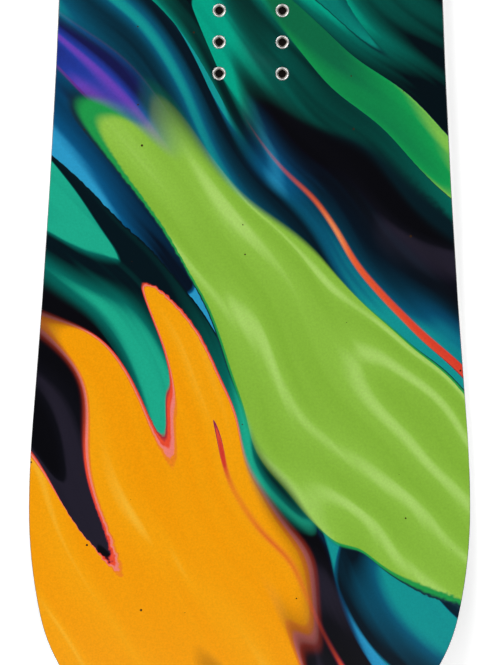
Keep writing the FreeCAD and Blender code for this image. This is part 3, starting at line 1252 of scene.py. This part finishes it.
@dataclass
class InsertGrid:
    """Where the inserts stand: rows and columns under either foot."""

    rows: int = 4
    columns: int = 2
    row_pitch: float = 20 * MM
    column_pitch: float = 40 * MM
    first_row: float = 240 * MM
    hole_sides: int = 48
    cutter_length: float = 20 * MM

    def sizes(self) -> dict[str, float]:
        """Value of each named input that the grid's trees share."""
        return {"Rows": self.rows, "Columns": self.columns, "Row Pitch": self.row_pitch,
                "Column Pitch": self.column_pitch, "First Row": self.first_row}

    @staticmethod
    def add_places(tree: Tree, given: Node) -> Node:
        """Add the nodes that make a vertex for every insert.

        Args:
            tree: The tree.
            given: Its group input node.

        Returns:
            Node that gives the vertices under both feet.
        """
        spans = []
        for count, pitch in (("Columns", "Column Pitch"), ("Rows", "Row Pitch")):
            gaps = add(tree, "Math", given.outputs[count], 1.0, operation="SUBTRACT")
            spans.append(add(tree, "Math", gaps, given.outputs[pitch], operation="MULTIPLY"))
        grid = add(tree, "GeometryNodeMeshGrid", {
            "Size X": spans[0], "Size Y": spans[1], "Vertices X": given.outputs["Columns"],
            "Vertices Y": given.outputs["Rows"],
        })
        centre = add(tree, "Math", spans[1], 0.5, given.outputs["First Row"], operation="MULTIPLY_ADD")
        feet = add(tree, "GeometryNodeJoinGeometry")
        for end in (1.0, -1.0):
            away = add(tree, "Math", centre, end, operation="MULTIPLY")
            shift = add(tree, "CombineXYZ", {"Y": away})
            foot = add(tree, "GeometryNodeTransform", {"Geometry": grid, "Translation": shift})
            tree.links.new(foot.outputs[0], feet.inputs[0])
        return feet

    def perforate(self, piece: bpy.types.Object, hole_radius: float) -> None:
        """Cut a round hole through a flat layer of the deck at every insert.

        Args:
            piece: The flat layer, whose heights count from the core's top.
            hole_radius: Radius of the holes.
        """
        sizes = {**self.sizes(), "Hole Radius": hole_radius}
        tree, given = open_tree("holes for the inserts", sizes)
        cutter = add(tree, "GeometryNodeMeshCylinder", {
            "Vertices": self.hole_sides, "Radius": given.outputs["Hole Radius"],
            "Depth": self.cutter_length,
        })
        cutters = add(tree, "GeometryNodeInstanceOnPoints", {
            "Points": self.add_places(tree, given), "Instance": cutter,
        })
        holed = add(tree, "GeometryNodeMeshBoolean", {
            "Mesh 1": given.outputs["Geometry"],
            "Mesh 2": add(tree, "GeometryNodeRealizeInstances", cutters),
        }, operation="DIFFERENCE", solver="EXACT")
        marked = add(tree, "GeometryNodeStoreNamedAttribute", {
            "Geometry": holed, "Name": "on_deck", "Value": 1.0,
        }, data_type="FLOAT", domain="POINT")
        close_tree(tree, given, marked)
        bake(piece, tree, sizes)


@dataclass
class RunningBase:
    """Sintered base, the steel edges round it and the laminate over both."""

    press: Press
    thickness: float
    head_width: float = 2.0 * MM
    flange_reach: float = 5.5 * MM
    flange_thickness: float = 0.5 * MM
    flat_end: float = 520 * MM
    edge_joint: float = 550 * MM

    def build(self) -> None:
        """Build every piece of the base."""
        self.build_base()
        self.build_edges()
        self.build_laminate()

    def build_base(self) -> None:
        """Running base and the base of either tip."""
        side = self.press.outline.side(self.head_width)
        reach = self.press.outline.length
        for name, low, high in (("base_sheet_running", -self.flat_end, self.flat_end),
                                ("base_sheet_nose", self.flat_end, reach),
                                ("base_sheet_tail", -reach, -self.flat_end)):
            piece = self.press.plate("stone_ground_" + name, cut(side, low, high), 0.0, self.thickness)
            self.press.press(piece, BoardFinish.BASE, [name])

    def edge_paths(self) -> dict[str, Line]:
        """Follow the outline clockwise seen from above.

        Returns:
            Path of each steel edge.
        """
        side = self.press.outline.side()
        nose = cut(side, self.edge_joint, self.press.outline.length)
        toe = cut(side, -self.edge_joint, self.edge_joint)
        round_nose = other_side(nose) + nose[-2::-1]
        return {
            "steel_edge_toeside": toe[::-1],
            "steel_edge_heelside": other_side(toe),
            "steel_edge_nose": round_nose,
            "steel_edge_tail": [(-x, -y) for x, y in round_nose],
        }

    def build_edges(self) -> None:
        """Sweep the edge's section along its four paths."""
        sizes = {"Head Width": self.head_width, "Head Height": self.thickness + self.flange_thickness,
                 "Flange Reach": self.flange_reach, "Flange Thickness": self.flange_thickness}
        tree, given = open_tree("edge section along a path", sizes)
        head, height = given.outputs["Head Width"], given.outputs["Head Height"]
        inner = add(tree, "Math", head, given.outputs["Flange Reach"], operation="ADD")
        under = add(tree, "Math", height, given.outputs["Flange Thickness"], operation="SUBTRACT")
        corners = ((0.0, 0.0), (head, 0.0), (head, under), (inner, under), (inner, height), (0.0, height))
        row = add(tree, "GeometryNodeMeshLine", {"Count": len(corners)})
        chosen = add(tree, "GeometryNodeIndexSwitch", add(tree, "GeometryNodeInputIndex"),
                     data_type="VECTOR")
        while len(chosen.index_switch_items) < len(corners):
            chosen.index_switch_items.new()
        for number, (inwards, up) in enumerate(corners, start=1):
            down = add(tree, "Math", up, -1.0, operation="MULTIPLY")
            corner = add(tree, "CombineXYZ", inwards, down)
            tree.links.new(corner.outputs[0], chosen.inputs[number])
        placed = add(tree, "GeometryNodeSetPosition", {"Geometry": row, "Position": chosen})
        section = add(tree, "GeometryNodeSetSplineCyclic", {
            "Geometry": add(tree, "GeometryNodeMeshToCurve", placed), "Cyclic": True,
        })
        path = add(tree, "GeometryNodeSetCurveNormal", {
            "Curve": add(tree, "GeometryNodeMeshToCurve", given.outputs["Geometry"]),
        }, mode="Z_UP")
        swept = add(tree, "GeometryNodeCurveToMesh", {
            "Curve": path, "Profile Curve": section, "Fill Caps": True,
        })
        close_tree(tree, given, swept)
        for name, path_line in self.edge_paths().items():
            mesh = bpy.data.meshes.new(name)
            steps = [(index, index + 1) for index in range(len(path_line) - 1)]
            mesh.from_pydata([(x, y, 0.0) for x, y in path_line], steps, [])
            piece = new_object("ground_" + name, mesh)
            bake(piece, tree, sizes)
            self.press.press(piece, BoardFinish.EDGE, [name])

    def build_laminate(self) -> None:
        """Bottom laminate, stepped over the flange of the edges."""
        rim = self.press.outline.side()
        seat = self.press.outline.side(self.head_width + self.flange_reach)
        rim_floor = self.thickness + self.flange_thickness
        rim_top = self.press.mould.core_floor
        rails = [Rail(line, above) for line, above in (
            (rim, rim_top), (rim, rim_floor), (seat, rim_floor), (seat, self.thickness))]
        rails += [Rail(other_side(rail.line), rail.above) for rail in reversed(rails)]
        self.press.press(loft("bottom_glass_cloth", rails), BoardFinish.GLASS, ["bottom_glass_laminate"])


@dataclass
class Core:
    """Wood core, which stays hidden, and the sidewalls and spacers round it."""

    press: Press
    sidewall_width: float = 9 * MM
    sidewall_end: float = 550 * MM
    insert_strips: tuple[str, ...] = ("core_strip_05", "core_strip_07")

    def build(self) -> None:
        """Build the sidewalls and dress the solids that stay."""
        self.build_sidewalls()
        self.dress_solids()

    def build_sidewalls(self) -> None:
        """Two sidewalls that lean in towards the deck."""
        outline, floor = self.press.outline, self.press.mould.core_floor
        foot, head, inner = (cut(side, -self.sidewall_end, self.sidewall_end) for side in (
            outline.side(), self.press.deck_side(), outline.side(self.sidewall_width)))
        for name, turn in (("sidewall_toeside", list), ("sidewall_heelside", other_side)):
            rails = [Rail(turn(foot), floor), Rail(turn(head), 0.0, True), Rail(turn(inner), 0.0, True),
                     Rail(turn(inner), floor)]
            self.press.press(loft("milled_" + name, rails), BoardFinish.SIDEWALL, [name])

    def dress_solids(self) -> None:
        """Give the strips, spacers and foils their materials."""
        dressed = {"core_strip": BoardFinish.POPLAR, "tip_spacer": BoardFinish.SPACER,
                   "rubber_foil": BoardFinish.FOIL}
        for name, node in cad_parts.items():
            finish = dressed.get(name.rsplit("_", 1)[0])
            if name in self.insert_strips:
                finish = BoardFinish.BEECH
            if finish:
                node.data.materials.clear()
                node.data.materials.append(finish.material)
                finish.slot
                log.info("%s: dressed in %s", name, finish.material.name)


@dataclass
class Deck:
    """Top laminate and printed topsheet, both open at the inserts."""

    press: Press
    grid: InsertGrid
    glass_thickness: float = 0.7 * MM
    film_thickness: float = 0.5 * MM
    hole_radius: float = 4.4 * MM

    def build(self) -> None:
        """Build both layers of the deck."""
        top = self.glass_thickness + self.film_thickness
        for name, node, finish, low, high in (
                ("top_glass_cloth", "top_glass_laminate", BoardFinish.GLASS, 0.0, self.glass_thickness),
                ("printed_topsheet_film", "topsheet", BoardFinish.PRINT, self.glass_thickness, top)):
            piece = self.press.plate(name, self.press.deck_side(), low, high, on_deck=True)
            self.grid.perforate(piece, self.hole_radius)
            self.press.press(piece, finish, [node])


@dataclass
class InsertPack:
    """Threaded inserts for the bindings, turned from round bar."""

    grid: InsertGrid
    floor: float
    mouth: float
    barrel_radius: float = 4.3 * MM
    flange_radius: float = 7.4 * MM
    flange_thickness: float = 1.0 * MM
    floor_thickness: float = 0.9 * MM
    thread_radius: float = 3.0 * MM
    thread_depth: float = 0.5 * MM
    thread_pitch: float = 1.0 * MM
    thread_flat_share: float = 0.19
    lip_inner_radius: float = 3.5 * MM
    lip_slope_degrees: float = 52.0
    lip_steps: int = 10
    countersink_degrees: float = 30.0
    turns_around: int = 48
    steps_per_pitch: int = 8

    def profile(self) -> list[tuple[float, float, float]]:
        """Half section from the flange's foot over the lip to the bore's floor.

        Returns:
            Radius, height and share of the thread's depth at each ring. The radius
            falls below the thread's where the countersink has met the thread.
        """
        shoulder = self.floor + self.flange_thickness
        slope = math.radians(self.lip_slope_degrees)
        lip_middle = (self.barrel_radius + self.lip_inner_radius) / 2
        lip_radius = (self.barrel_radius - self.lip_inner_radius) / 2 / math.sin(slope)
        lip_foot = self.mouth - lip_radius * (1 - math.cos(slope))
        rings = [(self.flange_radius, self.floor, 0.0), (self.flange_radius, shoulder, 0.0),
                 (self.barrel_radius, shoulder, 0.0)]
        for step in range(self.lip_steps + 1):
            angle = slope * (1 - 2 * step / self.lip_steps)
            rings.append((lip_middle + lip_radius * math.sin(angle),
                          self.mouth - lip_radius * (1 - math.cos(angle)), 0.0))
        thread_floor = self.floor + self.floor_thickness
        count = math.ceil((lip_foot - thread_floor) / self.thread_pitch * self.steps_per_pitch)
        countersink = math.tan(math.radians(self.countersink_degrees))
        for index in range(1, count + 1):
            height = lip_foot - (lip_foot - thread_floor) * index / count
            sunk = self.lip_inner_radius - (lip_foot - height) / countersink
            rings.append((sunk, height, min(1.0, (count - index) / self.steps_per_pitch)))
        return rings

    def turned_insert(self) -> bpy.types.Object:
        """Turn one insert at the origin, with a real helical thread in its bore.

        Returns:
            The insert, which becomes the piece.
        """
        shape = bmesh.new()
        rows = []
        for radius, height, share in self.profile():
            row = []
            for step in range(self.turns_around):
                turn = step / self.turns_around
                wave = (height / self.thread_pitch - turn) % 1.0
                flank = (1 - abs(2 * wave - 1) - self.thread_flat_share) / (1 - 2 * self.thread_flat_share)
                ridge = self.thread_depth * share * min(1.0, max(0.0, flank))
                angle = turn * 2 * math.pi
                reach = max(radius, self.thread_radius - ridge)
                row.append(shape.verts.new((reach * math.cos(angle), reach * math.sin(angle), height)))
            rows.append(row)
        for row, above in zip(rows, rows[1:]):
            for step in range(self.turns_around):
                after = (step + 1) % self.turns_around
                shape.faces.new((row[step], row[after], above[after], above[step]))
        shape.faces.new(rows[0])
        shape.faces.new(rows[-1])
        return closed_piece("turned_threaded_inserts", shape)

    def build(self) -> None:
        """Set an insert at every place of the grid."""
        piece = self.turned_insert()
        tree, given = open_tree("an insert at every place", self.grid.sizes())
        placed = add(tree, "GeometryNodeInstanceOnPoints", {
            "Points": self.grid.add_places(tree, given), "Instance": given.outputs["Geometry"],
        })
        close_tree(tree, given, placed)
        bake(piece, tree, {**self.grid.sizes(), "Material": BoardFinish.INSERT.material})
        hand_over(piece, BoardFinish.INSERT.slot, ["threaded_inserts"])


# ---- studio ----

def add_seen(tree: Tree) -> Node:
    """Add the nodes that say whether the camera sees a point, also by way of metal or glass.

    Args:
        tree: Material or world tree.

    Returns:
        Node that gives 1 where it is seen and 0 elsewhere.
    """
    path = add(tree, "LightPath")
    seen = path.outputs["Is Camera Ray"]
    for name in ("Is Glossy Ray", "Is Transmission Ray"):
        seen = add(tree, "Math", seen, path.outputs[name], operation="MAXIMUM")
    return seen


@dataclass(frozen=True)
class BackdropPaper(Finish):
    """Matt white paper, seen as white away from the board's shadow and see-through from below."""

    name: str = "matt white backdrop paper"
    grey: str = "#f4f4f4"
    near_glow: float = 0.45
    glow_start: float = 1.0
    glow_end: float = 3.0

    def surface(self, tree: Tree, where: Socket) -> Node:
        """Add a glow that grows with the distance and that only the camera sees.

        Args:
            tree: Material tree.
            where: Object coordinates.

        Returns:
            The shader.
        """
        away = add(tree, "VectorMath", where, operation="LENGTH")
        level = add(tree, "MapRange", away.outputs["Value"], self.glow_start, self.glow_end, self.near_glow,
                    1.0)
        strength = add(tree, "Math", level, add_seen(tree), operation="MULTIPLY")
        paper = add(tree, "BsdfDiffuse", {"Color": linear(self.grey)})
        glow = add(tree, "Emission", {"Strength": strength})
        return add(tree, "MixShader", add(tree, "NewGeometry").outputs["Backfacing"],
                   add(tree, "AddShader", paper, glow), add(tree, "BsdfTransparent"))


@dataclass(frozen=True)
class Softbox:
    """Large square lamp that faces the middle of the photograph, and its share of the power."""

    name: str
    place: Size
    share: float


@dataclass
class Studio:
    """Plain pale floor, soft lamps and the camera of the photograph.

    The strongest lamp stands beyond the nose on its heel side. The walls are of
    even dim light and are seen as white, and they end between the two heights of
    wall_top, given as parts of a dome, in a dark ceiling that keeps blacks deep.
    """

    photo_height_px: int = 665
    px_per_mm: float = 1.578
    centre_y: float = -464.1 * MM
    roll_degrees: float = 0.15
    deck_height: float = 10.3 * MM
    lens_mm: float = 300.0
    sensor_mm: float = 36.0
    floor_size: float = 24.0
    floor_gap: float = 0.1 * MM
    wall_top: Point = (0.5, 0.92)
    wall_level: float = 0.55
    ceiling_level: float = 0.05
    lamp_power: float = 31.0
    lamp_size: float = 2.2
    lamps: tuple[Softbox, ...] = (
        Softbox("softbox heel and nose", (-1.7, 1.2, 1.9), 1.5),
        Softbox("softbox toe and tail", (1.7, -2.1, 1.9), 0.5),
        Softbox("softbox toe and nose", (1.8, 1.3, 1.8), 0.75),
        Softbox("softbox heel and tail", (-1.8, -2.2, 1.8), 0.75),
    )

    def build(self) -> None:
        """Build the camera, the floor, the world and the lamps."""
        self.place_camera()
        self.build_floor()
        self.light_world()
        self.place_lamps()

    def place_camera(self) -> None:
        """Look straight down on the tail half, with the nose's side up."""
        lens = bpy.data.cameras.new("photo camera")
        lens.lens = self.lens_mm
        lens.sensor_width = self.sensor_mm
        distance = self.photo_height_px / self.px_per_mm * MM * self.lens_mm / self.sensor_mm
        camera = new_object("photo camera", lens)
        camera.location = (0.0, self.centre_y, self.deck_height + distance)
        camera.rotation_euler.z = math.radians(self.roll_degrees)
        bpy.context.scene.camera = camera

    def build_floor(self) -> None:
        """Lay the floor just under the board."""
        half = self.floor_size / 2
        corners = [(-half, -half), (half, -half), (half, half), (-half, half)]
        mesh = bpy.data.meshes.new("studio floor")
        mesh.from_pydata([(x, y, -self.floor_gap) for x, y in corners], [], [(0, 1, 2, 3)])
        mesh.materials.append(BackdropPaper().material())
        floor = new_object("studio_floor", mesh)

    def light_world(self) -> None:
        """Light the scene by its walls and ceiling."""
        world = bpy.data.worlds.new("studio walls")
        tree = empty_tree(world)
        towards = add(tree, "SeparateXYZ", add(tree, "TexCoord").outputs["Generated"])
        wall = add(tree, "MapRange", towards.outputs["Z"], *self.wall_top, 1.0, 0.0,
                   interpolation_type="SMOOTHSTEP")
        lit = add(tree, "MapRange", add_seen(tree), 0.0, 1.0, self.wall_level, 1.0)
        level = add(tree, "MapRange", wall, 0.0, 1.0, self.ceiling_level, lit)
        sky = add(tree, "Background", {"Color": (1, 1, 1, 1), "Strength": level})
        add(tree, "OutputWorld", {"Surface": sky})
        bpy.context.scene.world = world

    def place_lamps(self) -> None:
        """Place the softboxes off the board's corners."""
        for box in self.lamps:
            lamp = bpy.data.lights.new(box.name, "AREA")
            lamp.size = self.lamp_size
            lamp.energy = self.lamp_power * box.share
            holder = new_object(box.name, lamp)
            holder.location = box.place
            aim = Vector((0.0, self.centre_y, 0.0)) - Vector(box.place)
            holder.rotation_euler = aim.to_track_quat("-Z", "Y").to_euler()


def main() -> None:
    """Build the board and the studio, and report each piece."""
    logging.basicConfig(level=logging.INFO, format="%(name)s: %(message)s")
    bpy.context.scene.view_settings.view_transform = "Standard"
    core_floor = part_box("core_strip_06")[0].z
    edge_low, edge_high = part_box("steel_edge_nose")
    outline = Outline(length=2 * edge_high.y, widest=edge_high.x - edge_low.x)
    press = Press(outline, Mould(length=outline.length, core_floor=core_floor))
    grid = InsertGrid()
    Studio().build()
    RunningBase(press, thickness=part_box("base_sheet_running")[1].z).build()
    Core(press).build()
    Deck(press, grid).build()
    InsertPack(grid, floor=core_floor, mouth=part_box("threaded_inserts")[1].z).build()


if __name__ == "__main__":
    main()
